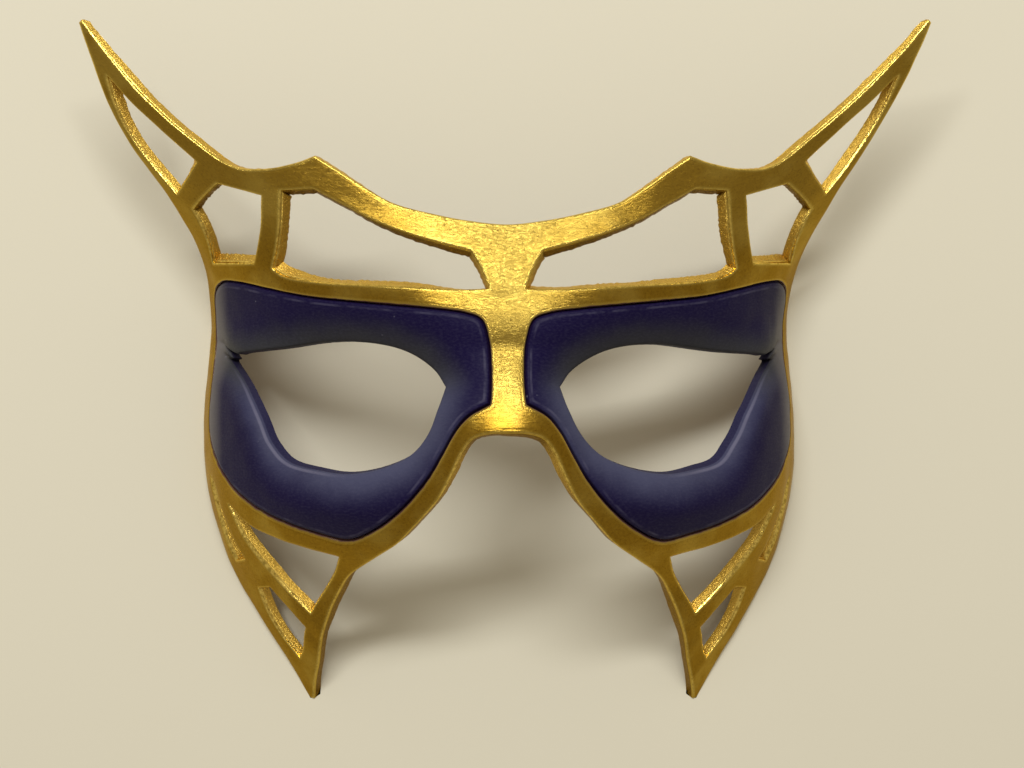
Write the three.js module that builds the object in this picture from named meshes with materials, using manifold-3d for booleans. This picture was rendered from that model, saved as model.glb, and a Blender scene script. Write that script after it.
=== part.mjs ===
// A leather masquerade half-mask, lying face up on its temples and its two cheek points.
// The gold tracery frame is one piece, cut from a sheet of leather and moulded over a face form.
// Two blue eye panels are let into the frame, each with an almond eye hole.
// Millimetres: +X to the right seen from the front, +Y to the brow, +Z out of the face.
import * as THREE from 'three';
import * as BufferGeometryUtils from 'three/addons/utils/BufferGeometryUtils.js';
import Module from 'manifold-3d';

const wasm = await Module();
wasm.setup();

// Driving dimensions
const LEATHER = 2.8; // thickness of the moulded leather
const SEAM = 0.4; // gap between an eye panel and the frame round it
const PANEL_SINK = 0.3; // how far a panel's edge rolls down into the seam
const PANEL_ROLL = 1.4; // width of that rolled edge
const EDGE_STEP = 3; // spacing of points along a cut edge
const FRAME_FACET = 4.6; // spacing of the facets on the frame's flat sheet
const PANEL_FACET = 3.2; // and on a panel's
const SHEET = { wide: 210, tall: 164 }; // flat sheet that a piece is cut from
const SHEET_CROWN = 1200; // radius of the slight crown that the flat sheet has while it is cut
const KNIFE = 60; // height of the outline that cuts through the sheet
const SLOPE_STEP = 0.5; // half the span that a slope of the form is taken over
const MERGE = 1e-3; // points closer than this are one point
const SHARPEST = 0.5; // limit on how far a sharp corner is moved when an edge is moved inwards
const SHEET_RADIUS = 68; // arc of the flat sheet for each radian round the face
const FLOOR_BOX = 300; // block that stands for the surface under the mask

// Eye sockets: how deep the leather dips to the hole's edge, and from how far away
const SOCKET_UPPER = { depth: 5, reach: 12 };
const SOCKET_LOWER = { depth: 3.2, reach: 8 };
const SOCKET_TURN = { low: -10, high: 2 }; // heights where the lower socket becomes the upper
const SOCKET_SIDE = { from: 44, to: 62, keep: 0.25 }; // the socket is shallower at the temples
const LIP = { depth: 1.4, reach: 3, from: 34, to: 48 }; // rolled lip on the lower outer edge of the hole
const LID_STEP = { lift: 0.8, reach: 7, soft: 1.2 }; // upper lid lies over the lower at the outer corner
const LID_CORNER = { x: 61.5, y: 3.4, rise: 0.22 }; // place and slope of that overlap
const LEAN = { slope: 0.046, top: 51, tall: 95 }; // the hand-moulded sides lean a little to the left
const WING_LEAN = { shift: 1, height: 55, tall: 15 }; // the wings lean a little more
const SKIVE = { share: 0.55, from: 62, to: 80 }; // heights over which the wings are pared thinner
const CENTRE = { x: 0.636, y: 0.117 }; // brings the middle of the leaning mask back to the origin

const CORNER = true;

// Turns rows of bare cells into rows with named columns
function table(columns, rows) {
  const names = columns.split(' ');
  return rows.map((row) => Object.fromEntries(names.map((name, i) => [name, row[i]])));
}

// The face form: half-ellipse sections, one row for each height
const FORM = table('height crown half fall', [
  [-80.5, 14.5, 51.2, 27],
  [-70, 20.2, 57, 33.8],
  [-62, 24.9, 62, 40.4],
  [-50, 32, 68, 49],
  [-38, 44.5, 71, 61],
  [-25, 51, 73, 67],
  [-10, 53, 73, 68.7],
  [2, 51.5, 72.1, 68],
  [12, 51.2, 71.8, 67.8],
  [22, 48.7, 72.9, 56],
  [31, 46.3, 77, 45],
  [39, 45.1, 84.5, 44.5],
  [47, 44.5, 92.5, 45],
  [60, 44.4, 105.5, 46],
  [80, 44, 126, 51],
]);

// Soft rises of the form, each on both sides of the face
const RISES = table('name x y wide tall lift', [
  ['nose', 0, -20, 11, 13, 2.4],
  ['nasion', 0, 4.5, 8, 2.4, -0.3],
  ['brow crease', 0, 15, 6, 1.8, -0.2],
  ['brow', 26, 23, 16, 7, 2],
  ['cheek', 37, -29, 17, 7, 1.8],
]);

// Cut edges as seen from the front, right half
const OUTER_EDGE = table('x y corner', [
  [0, 31.1],
  [8.5, 32],
  [15.1, 33.3],
  [24.6, 36],
  [30.6, 39.5],
  [36.5, 43.5],
  [41.4, 46.7, CORNER],
  [45.7, 45.3],
  [53.4, 44.2],
  [60.5, 45.2],
  [69.3, 51.4],
  [80.7, 61.3],
  [90.2, 71.6],
  [96.4, 79.3, CORNER],
  [97.1, 78.7, CORNER],
  [94.1, 70.5],
  [89.5, 59.6],
  [84.2, 50.3],
  [77, 39.8],
  [72.5, 31.9],
  [70, 25.3],
  [69.1, 16.3],
  [69.6, 4.7],
  [70.8, -7.4],
  [71, -18],
  [70, -29],
  [66.3, -43.2],
  [59.6, -56.9],
  [51.1, -70.9],
  [46.5, -79.3, CORNER],
  [45.7, -79.3, CORNER],
  [43.8, -69.5],
  [42.3, -62.1],
  [38.3, -52.3],
  [34.9, -47],
  [29.2, -42.6],
  [23.9, -38.7],
  [19.3, -33.7],
  [14.8, -28.2],
  [11.9, -22.7],
  [9.6, -17.9],
  [7.2, -15],
  [3.8, -13.9],
  [0, -13.8],
]);

const PANEL_EDGE = table('x y corner', [
  [3.8, -8, CORNER],
  [3.6, -6.3],
  [3.5, -0.5],
  [4, 5.9],
  [5.6, 10.4],
  [9, 11.85],
  [15.3, 12.8],
  [33.9, 14.7],
  [43.7, 15.9],
  [52.9, 17.9],
  [60.2, 19.7],
  [65.2, 20.1],
  [67.4, 17.8],
  [67.8, 12.4],
  [68.1, 5],
  [68.5, -2.5],
  [69.1, -10.4],
  [68.7, -16.8],
  [66.1, -22.9],
  [62.3, -27.5],
  [56.1, -31.8],
  [48.8, -34.8],
  [40.8, -37.1],
  [34.5, -38.3],
  [28.5, -35.5],
  [22.3, -30.4],
  [17.2, -24.3],
  [13.8, -18.5],
  [11.3, -14],
  [8.3, -10.5],
]);

const EYE_HOLE = table('x y corner', [
  [12.1, -3.4, CORNER],
  [14.8, -0.2],
  [19.6, 2.5],
  [25.9, 4.5],
  [35, 5.4],
  [44.2, 4.9],
  [52.2, 4.1],
  [62.5, 3.4, CORNER],
  [66, 5.4, CORNER],
  [64.4, 3.9, CORNER],
  [64.2, 2.7, CORNER],
  [65.4, 2.4, CORNER],
  [64.2, 0.9],
  [60.9, -3.7],
  [57.4, -10.4],
  [54.1, -17],
  [50.4, -21.7],
  [41, -23.8],
  [33.5, -23.7],
  [26.5, -22],
  [20.9, -19.1],
  [16.7, -14.6],
  [13.7, -8.7],
]);

// Where the left eye hole is cut differently: soft shifts of its edge, away from the nose and up
const LEFT_SHIFTS = table('name x y reach out up', [
  ['nose side', 12, -6, 13, 2, 0],
  ['lid', 46, 5, 13, 0, 1.05],
  ['outer lip', 53, -17, 7, 0.8, 0],
]);

const BROW_WINDOW = table('x y corner', [
  [4, 17, CORNER],
  [5.8, 21.5],
  [7.8, 25.1, CORNER],
  [15.1, 27],
  [22.1, 29.2],
  [29.4, 32.3],
  [36.4, 36.2],
  [42.2, 39.4, CORNER],
  [49.4, 39.2, CORNER],
  [50.2, 30.3],
  [51.9, 22.4, CORNER],
  [49.9, 20.9],
  [41.5, 19],
  [31.5, 18],
  [19.9, 17.2],
  [10.3, 16.8],
]);

const TEMPLE_WINDOW = table('x y corner', [
  [56.5, 23.8, CORNER],
  [54.7, 31.3],
  [54.1, 38.4, CORNER],
  [64.1, 41.4, CORNER],
  [67.4, 39],
  [70.6, 36.1, CORNER],
  [67, 24.5, CORNER],
]);

const WING_WINDOW = table('x y corner', [
  [68.9, 46.6, CORNER],
  [76.5, 53.5],
  [84.3, 60.6],
  [90, 66.6, CORNER],
  [88.5, 61.4],
  [85.3, 54.6],
  [80.9, 48],
  [74.6, 40.1, CORNER],
  [71.6, 43.4],
]);

const CHEEK_SLIT = table('x y corner', [
  [68.7, -25.4, CORNER],
  [67.3, -33.5],
  [65.4, -40.5],
  [63.3, -45.5, CORNER],
  [60.7, -44.7, CORNER],
  [63.1, -40.4],
  [65.4, -34.7],
  [67.5, -27.8],
]);

const CHEEK_WINDOW = table('x y corner', [
  [63.8, -31.6, CORNER],
  [60.2, -39.2],
  [55.5, -45.6],
  [50.1, -51.7],
  [45, -56.8, CORNER],
  [41.1, -50.5],
  [38.6, -46.2],
  [37.3, -42.4, CORNER],
  [45.8, -40.4],
  [52.8, -38.4],
  [59.2, -35.6],
]);

const POINT_SLIT = table('x y corner', [
  [57.7, -52, CORNER],
  [55.6, -58.4],
  [52.8, -63.3],
  [48.7, -68.7, CORNER],
  [47.6, -66.1],
  [46.5, -60.6, CORNER],
  [51, -55.6],
  [54.7, -51.5, CORNER],
]);

const OPENINGS = [BROW_WINDOW, TEMPLE_WINDOW, WING_WINDOW, CHEEK_SLIT, CHEEK_WINDOW, POINT_SLIT];

const GOLD = new THREE.MeshStandardMaterial({ color: 0xb8891f, roughness: 0.38, metalness: 0.85 });
const BLUE = new THREE.MeshStandardMaterial({ color: 0x1d1940, roughness: 0.5, metalness: 0 });

// The form's section at a height
const FORM_SIZES = ['crown', 'half', 'fall'];
const sectionAt = new THREE.CubicInterpolant(
  FORM.map((row) => row.height),
  FORM.flatMap((row) => FORM_SIZES.map((name) => row[name])),
  FORM_SIZES.length,
  new Float64Array(FORM_SIZES.length),
);

function section(y) {
  const [crown, half, fall] = sectionAt.evaluate(y);
  return { crown, half, fall };
}

// Front view to flat sheet, and flat sheet to the smooth form
function unroll({ x, y }) {
  return new THREE.Vector2(SHEET_RADIUS * Math.asin(x / section(y).half), y);
}

function formPoint(u, v) {
  const { crown, half, fall } = section(v);
  const turn = u / SHEET_RADIUS;
  return new THREE.Vector3(half * Math.sin(turn), v, crown - fall * (1 - Math.cos(turn)));
}

function formNormal(u, v) {
  const across = formPoint(u + SLOPE_STEP, v).sub(formPoint(u - SLOPE_STEP, v));
  const up = formPoint(u, v + SLOPE_STEP).sub(formPoint(u, v - SLOPE_STEP));
  return across.cross(up).normalize();
}

// A point of the sheet laid on the form, at a height above it
function mould(u, v, lift) {
  const place = formPoint(u, v).addScaledVector(formNormal(u, v), lift);
  place.x += CENTRE.x - LEAN.slope * (LEAN.top - place.z) * Math.exp(-((v / LEAN.tall) ** 2));
  place.x -= WING_LEAN.shift * Math.exp(-(((v - WING_LEAN.height) / WING_LEAN.tall) ** 2));
  place.y += CENTRE.y;
  return place;
}

// A closed edge: a smooth curve between each corner and the next, as points on the flat sheet
function edgePoints(rows) {
  const first = Math.max(rows.findIndex((row) => row.corner), 0);
  const ring = [...rows.slice(first), ...rows.slice(0, first), rows[first]];
  const points = [];
  let stretch = [];
  ring.forEach((row, i) => {
    const { x, y } = unroll(row);
    stretch.push(new THREE.Vector3(x, y, 0));
    if (i === 0 || !(row.corner || i === ring.length - 1)) return;
    const curve = new THREE.CatmullRomCurve3(stretch);
    const steps = Math.max(1, Math.round(curve.getLength() / EDGE_STEP));
    points.push(...curve.getSpacedPoints(steps).slice(0, -1));
    stretch = [stretch.at(-1)];
  });
  return points.map((point) => new THREE.Vector2(point.x, point.y));
}

function mirrored(points) {
  return points.map((point) => new THREE.Vector2(-point.x, point.y)).reverse();
}

// The outer edge runs from the brow down the right side to the nose, and back up the left
function wholeEdge(rows) {
  const left = rows.slice(1, -1).map((row) => ({ ...row, x: -row.x })).reverse();
  return edgePoints([...rows, ...left]);
}

// A closed edge moved inwards by a gap
function inset(points, gap) {
  const sign = THREE.ShapeUtils.isClockWise(points) ? -1 : 1;
  return points.map((point, i) => {
    const back = point.clone().sub(points.at(i - 1)).normalize();
    const ahead = points[(i + 1) % points.length].clone().sub(point).normalize();
    const along = back.clone().add(ahead).normalize();
    const inwards = new THREE.Vector2(-along.y, along.x).multiplyScalar(sign);
    const sharpness = Math.max(SHARPEST, along.dot(ahead));
    return point.clone().addScaledVector(inwards, gap / sharpness);
  });
}

function distanceTo(points, u, v) {
  const place = new THREE.Vector3(u, v, 0);
  const line = new THREE.Line3();
  const nearest = new THREE.Vector3();
  let least = Infinity;
  points.forEach((point, i) => {
    const next = points[(i + 1) % points.length];
    line.start.set(point.x, point.y, 0);
    line.end.set(next.x, next.y, 0);
    line.closestPointToPoint(place, true, nearest);
    least = Math.min(least, nearest.distanceTo(place));
  });
  return least;
}

// The left eye hole, in the right half's measure
function leftHole(row) {
  const moved = { ...row };
  for (const shift of LEFT_SHIFTS) {
    const near = Math.exp(-((row.x - shift.x) ** 2 + (row.y - shift.y) ** 2) / shift.reach ** 2);
    moved.x += shift.out * near;
    moved.y += shift.up * near;
  }
  return moved;
}

const eyeHole = { right: edgePoints(EYE_HOLE), left: edgePoints(EYE_HOLE.map(leftHole)) };
const panelEdge = edgePoints(PANEL_EDGE);
const lidCorner = unroll(LID_CORNER);

function bump(row, x, y) {
  const high = ((y - row.y) / row.tall) ** 2;
  const right = Math.exp(-(((x - row.x) / row.wide) ** 2) - high);
  const left = Math.exp(-(((x + row.x) / row.wide) ** 2) - high);
  return row.lift * (right + left);
}

// A dip that is deepest at the edge and fades out at its reach
function dip(depth, reach, distance) {
  return depth * Math.max(0, 1 - distance / reach) ** 2;
}

// Height of the modelled leather above the smooth form
function relief(u, v) {
  const x = formPoint(Math.abs(u), v).x;
  const { smoothstep, lerp } = THREE.MathUtils;
  let lift = 0;
  for (const row of RISES) lift += bump(row, x, v);
  const distance = distanceTo(u < 0 ? eyeHole.left : eyeHole.right, Math.abs(u), v);
  const upper = smoothstep(v, SOCKET_TURN.low, SOCKET_TURN.high);
  const side = lerp(1, SOCKET_SIDE.keep, smoothstep(x, SOCKET_SIDE.from, SOCKET_SIDE.to));
  const depth = side * lerp(SOCKET_LOWER.depth, SOCKET_UPPER.depth, upper);
  lift -= dip(depth, lerp(SOCKET_LOWER.reach, SOCKET_UPPER.reach, upper), distance);
  const lipped = smoothstep(x, LIP.from, LIP.to) * (1 - upper);
  lift -= dip(LIP.depth * lipped, LIP.reach, distance);
  const out = Math.abs(u) - lidCorner.x;
  const above = v - lidCorner.y - LID_CORNER.rise * out;
  const near = Math.exp(-(out ** 2 + above ** 2) / LID_STEP.reach ** 2);
  return lift + LID_STEP.lift * near * Math.tanh(above / LID_STEP.soft);
}

// A rolled edge that sinks a panel into its seam
function panelRoll(u, v) {
  return dip(PANEL_SINK, PANEL_ROLL, distanceTo(panelEdge, Math.abs(u), v));
}

// How far the slightly crowned flat sheet falls away from its middle
function crown(u, v) {
  return (u * u + v * v) / (2 * SHEET_CROWN);
}

// The uncut sheet, divided into small facets
function flatSheet(facet) {
  const columns = Math.round(SHEET.wide / facet);
  const rows = Math.round(SHEET.tall / facet);
  const sheet = new THREE.BoxGeometry(SHEET.wide, SHEET.tall, LEATHER, columns, rows, 1);
  sheet.translate(0, 0, -LEATHER / 2);
  const place = sheet.getAttribute('position');
  for (let i = 0; i < place.count; i += 1) {
    place.setZ(i, place.getZ(i) - crown(place.getX(i), place.getY(i)));
  }
  return toSolid(closed(sheet));
}

// Cuts a piece out of the flat sheet and moulds it over the form
function mouldedSheet(outline, holes, facet, sink) {
  const anticlockwise = THREE.ShapeUtils.isClockWise(outline) ? [...outline].reverse() : outline;
  const shape = new THREE.Shape(anticlockwise);
  shape.holes = holes.map((hole) => new THREE.Path(hole));
  const knife = new THREE.ExtrudeGeometry(shape, { depth: KNIFE, bevelEnabled: false });
  knife.translate(0, 0, -KNIFE / 2);
  const sheet = toGeometry(flatSheet(facet).intersect(toSolid(closed(knife))));
  const place = sheet.getAttribute('position');
  for (let i = 0; i < place.count; i += 1) {
    const u = place.getX(i);
    const v = place.getY(i);
    const pared = 1 - SKIVE.share * THREE.MathUtils.smoothstep(v, SKIVE.from, SKIVE.to);
    const lift = place.getZ(i) * pared + crown(u, v) + relief(u, v) - sink(u, v);
    const moulded = mould(u, v, lift);
    place.setXYZ(i, moulded.x, moulded.y, moulded.z);
  }
  return sheet;
}

// Keeps only positions and merges the points that meet
function closed(geometry) {
  const bare = geometry.index ? geometry.toNonIndexed() : geometry;
  for (const name of Object.keys(bare.attributes)) {
    if (name !== 'position') bare.deleteAttribute(name);
  }
  return BufferGeometryUtils.mergeVertices(bare, MERGE);
}

function toSolid(geometry) {
  const vertProperties = Float32Array.from(geometry.getAttribute('position').array);
  const triVerts = Uint32Array.from(geometry.index.array);
  return new wasm.Manifold(new wasm.Mesh({ numProp: 3, vertProperties, triVerts }));
}

function toGeometry(solid) {
  const mesh = solid.getMesh();
  const geometry = new THREE.BufferGeometry();
  geometry.setAttribute('position', new THREE.BufferAttribute(mesh.vertProperties, 3));
  geometry.setIndex(new THREE.BufferAttribute(mesh.triVerts, 1));
  return geometry;
}

// The leather is pressed flat where the mask rests on a surface
function restedOnFloor(geometry) {
  const floor = new THREE.BoxGeometry(FLOOR_BOX, FLOOR_BOX, FLOOR_BOX);
  floor.translate(0, 0, -FLOOR_BOX / 2);
  return toGeometry(toSolid(geometry).subtract(toSolid(closed(floor))));
}

function piece(name, geometry, material) {
  geometry.computeVertexNormals();
  const mesh = new THREE.Mesh(geometry, material.clone());
  mesh.name = name;
  return mesh;
}

function goldFrame() {
  const right = [panelEdge, ...OPENINGS.map(edgePoints)];
  const holes = [...right, ...right.map(mirrored)];
  const sheet = mouldedSheet(wholeEdge(OUTER_EDGE), holes, FRAME_FACET, () => 0);
  return piece('gold_frame', restedOnFloor(sheet), GOLD);
}

function eyePanel(side) {
  const edges = [inset(panelEdge, SEAM), eyeHole[side]];
  const [outline, hole] = side === 'left' ? edges.map(mirrored) : edges;
  const sheet = mouldedSheet(outline, [hole], PANEL_FACET, panelRoll);
  return piece(`eye_panel_${side}`, sheet, BLUE);
}

const mask = new THREE.Group();
mask.name = 'masquerade_mask';
mask.add(goldFrame());
mask.add(eyePanel('left'));
mask.add(eyePanel('right'));

export default mask;
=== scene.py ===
"""Looks of a leather masquerade mask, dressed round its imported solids.

A gold tracery frame and two blue eye panels are each cut from a flat sheet of leather and moulded
over one face form. Tables are in millimetres; the finished meshes are in metres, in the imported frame.
"""

import math
from collections import namedtuple

import bmesh
import bpy
import numpy as np
from bpy.props import FloatProperty, FloatVectorProperty, PointerProperty
from bpy.types import Operator, Panel, PropertyGroup
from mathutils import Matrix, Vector, noise
from mathutils.geometry import interpolate_bezier
from mathutils.kdtree import KDTree


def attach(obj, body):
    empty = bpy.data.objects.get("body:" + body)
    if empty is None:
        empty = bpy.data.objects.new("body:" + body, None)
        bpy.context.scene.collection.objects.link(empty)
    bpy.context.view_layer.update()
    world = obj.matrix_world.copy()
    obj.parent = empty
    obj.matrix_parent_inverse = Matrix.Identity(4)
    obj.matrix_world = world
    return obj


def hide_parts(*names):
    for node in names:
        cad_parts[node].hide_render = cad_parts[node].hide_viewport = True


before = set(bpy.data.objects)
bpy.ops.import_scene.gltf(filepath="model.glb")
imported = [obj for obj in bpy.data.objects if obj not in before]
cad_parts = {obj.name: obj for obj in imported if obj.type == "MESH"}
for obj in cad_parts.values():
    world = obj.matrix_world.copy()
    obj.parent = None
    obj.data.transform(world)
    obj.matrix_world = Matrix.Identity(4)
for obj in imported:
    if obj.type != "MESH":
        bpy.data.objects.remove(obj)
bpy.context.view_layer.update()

bl_info = {
    "name": "Leather masquerade mask",
    "version": (1, 0, 0),
    "blender": (4, 5, 0),
    "location": "View3D > Sidebar > Mask",
    "description": "Builds a moulded leather half-mask with a gold frame and blue eye panels",
    "category": "Object",
}

MM = 0.001  # metres in a millimetre
CORNER = True

# Driving dimensions of the moulded leather, in millimetres
SHEET_RADIUS = 68  # arc of the flat sheet for each radian round the face
SLOPE_STEP = 0.5  # half the span that a slope of the form is taken over
PANEL_SINK = 0.3  # how far a panel's edge rolls down into the seam
PANEL_ROLL = 1.4  # width of that rolled edge
EDGE_STEP = 0.6  # spacing of points along a cut edge
FINE_STEP = 0.1  # spacing of the points that distances are measured to
CURVE_STEPS = 24  # points on a curve between one row of an edge table and the next
RIM_TURNS = (30, 60, 90)  # degrees of the rounded front edge at each ring of faces
REFINE_ROUNDS = 9
LONG_EDGE = 1.4  # an edge this many times as long as a facet is divided
SMOOTH_ROUNDS = 6
FINE_CORNER = {"out": 2, "reach": 7}  # patch of fine facets past the outer corner of an eye hole
WALL_CUTS = 3  # rings of faces that divide a cut wall
BACK_ROUNDING = 0.5  # how much of the front edge's rounding the back edge has
SHARP_ANGLE = math.radians(42)

# Eye sockets, lids, lean and paring, as in the solids: a depth is reached at the eye hole's edge
SOCKET_UPPER = {"depth": 5, "reach": 12}
SOCKET_LOWER = {"depth": 3.2, "reach": 8}
SOCKET_TURN = {"low": -10, "high": 2}  # heights where the lower socket becomes the upper
SOCKET_SIDE = {"from": 44, "to": 62, "keep": 0.25}  # the socket is shallower at the temples
LIP = {"depth": 1.4, "reach": 3, "from": 34, "to": 48}  # rolled lip on the hole's lower outer edge
LID_STEP = {"lift": 0.8, "reach": 7, "soft": 1.2}  # the upper lid lies over the lower
LID_CORNER = {"x": 61.5, "y": 3.4, "rise": 0.22}  # place and slope of that overlap
LEAN = {"slope": 0.046, "top": 51, "tall": 95}  # the sides lean a little to the left
WING_LEAN = {"shift": 1, "height": 55, "tall": 15}  # the wings lean a little more
SKIVE = {"share": 0.55, "from": 62, "to": 80}  # heights over which the wings are pared thinner
CENTRE = {"x": 0.636, "y": 0.117}  # brings the middle of the leaning mask back to the origin

# How each cut slants and frays: pairs are the start and end of a soft change, in millimetres on the
# flat sheet, apart from "facing", which is how far a wall looks up or out
NEAR_EDGE = (0.6, 1.2)  # distances from an edge that its own wall lies within
KNIFE = {"even": 0.65, "uneven": 0.5, "size": 14, "seed": 3}
FIBRES = {"low": 0.35, "heights": (0, 20), "size": 0.8, "seed": 5}
TONGUE_DEPTH = (0.02, 0.2)  # shares of the depth where a panel's wall reaches out into the seam
PANEL_CUT = {"slant": 0.6, "ragged": 0.3}
TRACERY = (22, 28)  # heights where the bars over the eyes become the upper tracery
CROWN_CUT = {"facing": (0.1, 0.7), "heights": (24, 30)}
TEMPLE_CUT = {"less": 0.8, "sides": (50, 56), "heights": (40, 46)}
BAR_CUT = {"more": 0.8, "facing": (0.3, 0.8), "heights": (8, 14)}
POST_CUT = {"more": 0.6, "facing": (0.5, 0.9), "inner": (38, 42), "outer": (52, 55)}
CHEEK_CUT = {"facing": (-0.2, 0.4), "heights": (-30, -20)}
POINT_CUT = (-74, -52)  # heights where the cuts at the cheek points begin to slant
# Walls that look down this far take painted shade in dark gold
UNDERSIDE = (0.2, 0.8)  # how far a wall looks down where it counts as an underside

# Soft unevenness of the surface, and what the finishes follow and add up
HAND = {"size": 5, "seed": 1}
# Where the gold is crinkled, which also sets a painted highlight of paler gold: down the middle and on
# the upper tracery
CRINKLED_AND_HIGHLIT = {"least": 0.14, "brow": 0.86, "wide": 14, "heights": (-14, 0), "upper": 0.22, "from": (24, 34)}
# Steep temples, where a grey sheen is painted on the blue dye
STEEP = {"sides": (64.5, 69.5), "shift": 1.5, "heights": (-4, 8)}
BACK_FACE = (0.93, 0.99)  # shares of the depth where a wall becomes the back
GOLD_RELIEF = {"crinkle": 1.05, "streak": 0.42, "grain": 0.12, "groove": 0.15, "wall": 2.8}
GOLD_ROUGH = {"paint": 0.23, "grain": 0.12, "wall": 0.03, "rim": 0.06, "arris": 0.04, "back": 0.35}
# Shares of paler gold: heavier paint in patches, rims paler from wear and a painted highlight, and a
# painted highlight where the gold is crinkled
GOLD_THICK_AND_HIGHLIT = {"patch": 0.25, "rim": 0.4, "crinkled_and_highlit": 0.6}
GOLD_EDGE_TINT = (1, 0.84, 0.55, 1)  # gold stays gold where it is seen along its surface
BLUE_RELIEF = {"brush": 0.5, "grain": 0.3, "cloud": 0.4}
BLUE_ROUGH = {"dye": 0.4, "brush": 0.16, "back": 0.3}
BLUE_SHEEN = 0.09

# Stage, in metres; the film's width is in millimetres
FLOOR = {"cells": 8, "half": 3}
WINDOW = {"place": (-0.12, 0.6, 0.94), "size": (0.8, 0.13)}
CAMERA = {"place": (1.536 * MM, -3.383 * MM), "film": 36, "nearest": 0.01}


def table(name, columns, rows):
    """Rows of bare cells as rows with named columns; the last column may be left out."""
    row_type = namedtuple(name, columns, defaults=(False,))
    return [row_type(*row) for row in rows]


# The face form: half-ellipse sections, one row for each height
FORM = table("Section", "height crown half fall", [
    (-80.5, 14.5, 51.2, 27),
    (-70, 20.2, 57, 33.8),
    (-62, 24.9, 62, 40.4),
    (-50, 32, 68, 49),
    (-38, 44.5, 71, 61),
    (-25, 51, 73, 67),
    (-10, 53, 73, 68.7),
    (2, 51.5, 72.1, 68),
    (12, 51.2, 71.8, 67.8),
    (22, 48.7, 72.9, 56),
    (31, 46.3, 77, 45),
    (39, 45.1, 84.5, 44.5),
    (47, 44.5, 92.5, 45),
    (60, 44.4, 105.5, 46),
    (80, 44, 126, 51),
])

# Soft rises of the form, each on both sides of the face
RISES = table("Rise", "name x y wide tall lift", [
    ("nose", 0, -20, 11, 13, 2.4),
    ("nasion", 0, 4.5, 8, 2.4, -0.3),
    ("brow crease", 0, 15, 6, 1.8, -0.2),
    ("brow", 26, 23, 16, 7, 2),
    ("cheek", 37, -29, 17, 7, 1.8),
])

# Pinched folds at the outer corner of each eye, on the flat sheet beyond the corner
PLEATS = table("Pleat", "name out up turn long wide lift", [
    ("tongue", 5, 0.3, 15, 4, 1, 0.6),
    ("lower crease", 7.6, -0.4, 15, 2, 0.6, -0.7),
    ("upper crease", 11, 2.7, 12, 2, 0.6, -0.6),
])

# Cut edges as seen from the front, right half
OUTER_EDGE = table("Knot", "x y corner", [
    (0, 31.1),
    (8.5, 32),
    (15.1, 33.3),
    (24.6, 36),
    (30.6, 39.5),
    (36.5, 43.5),
    (41.4, 46.7, CORNER),
    (45.7, 45.3),
    (53.4, 44.2),
    (60.5, 45.2),
    (69.3, 51.4),
    (80.7, 61.3),
    (90.2, 71.6),
    (96.4, 79.3, CORNER),
    (97.1, 78.7, CORNER),
    (94.1, 70.5),
    (89.5, 59.6),
    (84.2, 50.3),
    (77, 39.8),
    (72.5, 31.9),
    (70, 25.3),
    (69.1, 16.3),
    (69.6, 4.7),
    (70.8, -7.4),
    (71, -18),
    (70, -29),
    (66.3, -43.2),
    (59.6, -56.9),
    (51.1, -70.9),
    (46.5, -79.3, CORNER),
    (45.7, -79.3, CORNER),
    (43.8, -69.5),
    (42.3, -62.1),
    (38.3, -52.3),
    (34.9, -47),
    (29.2, -42.6),
    (23.9, -38.7),
    (19.3, -33.7),
    (14.8, -28.2),
    (11.9, -22.7),
    (9.6, -17.9),
    (7.2, -15),
    (3.8, -13.9),
    (0, -13.8),
])

PANEL_EDGE = table("Knot", "x y corner", [
    (3.8, -8, CORNER),
    (3.6, -6.3),
    (3.5, -0.5),
    (4, 5.9),
    (5.6, 10.4),
    (9, 11.85),
    (15.3, 12.8),
    (33.9, 14.7),
    (43.7, 15.9),
    (52.9, 17.9),
    (60.2, 19.7),
    (65.2, 20.1),
    (67.4, 17.8),
    (67.8, 12.4),
    (68.1, 5),
    (68.5, -2.5),
    (69.1, -10.4),
    (68.7, -16.8),
    (66.1, -22.9),
    (62.3, -27.5),
    (56.1, -31.8),
    (48.8, -34.8),
    (40.8, -37.1),
    (34.5, -38.3),
    (28.5, -35.5),
    (22.3, -30.4),
    (17.2, -24.3),
    (13.8, -18.5),
    (11.3, -14),
    (8.3, -10.5),
])

EYE_HOLE = table("Knot", "x y corner", [
    (12.1, -3.4, CORNER),
    (14.8, -0.2),
    (19.6, 2.5),
    (25.9, 4.5),
    (35, 5.4),
    (44.2, 4.9),
    (52.2, 4.1),
    (62.5, 3.4, CORNER),
    (66, 5.4, CORNER),
    (64.4, 3.9, CORNER),
    (64.2, 2.7, CORNER),
    (65.4, 2.4, CORNER),
    (64.2, 0.9),
    (60.9, -3.7),
    (57.4, -10.4),
    (54.1, -17),
    (50.4, -21.7),
    (41, -23.8),
    (33.5, -23.7),
    (26.5, -22),
    (20.9, -19.1),
    (16.7, -14.6),
    (13.7, -8.7),
])

# Where the left eye hole is cut differently: soft shifts of its edge, away from the nose and up
LEFT_SHIFTS = table("Shift", "name x y reach out up", [
    ("nose side", 12, -6, 13, 2, 0),
    ("lid", 46, 5, 13, 0, 1.05),
    ("outer lip", 53, -17, 7, 0.8, 0),
])

BROW_WINDOW = table("Knot", "x y corner", [
    (4, 17, CORNER),
    (5.8, 21.5),
    (7.8, 25.1, CORNER),
    (15.1, 27),
    (22.1, 29.2),
    (29.4, 32.3),
    (36.4, 36.2),
    (42.2, 39.4, CORNER),
    (49.4, 39.2, CORNER),
    (50.2, 30.3),
    (51.9, 22.4, CORNER),
    (49.9, 20.9),
    (41.5, 19),
    (31.5, 18),
    (19.9, 17.2),
    (10.3, 16.8),
])

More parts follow.
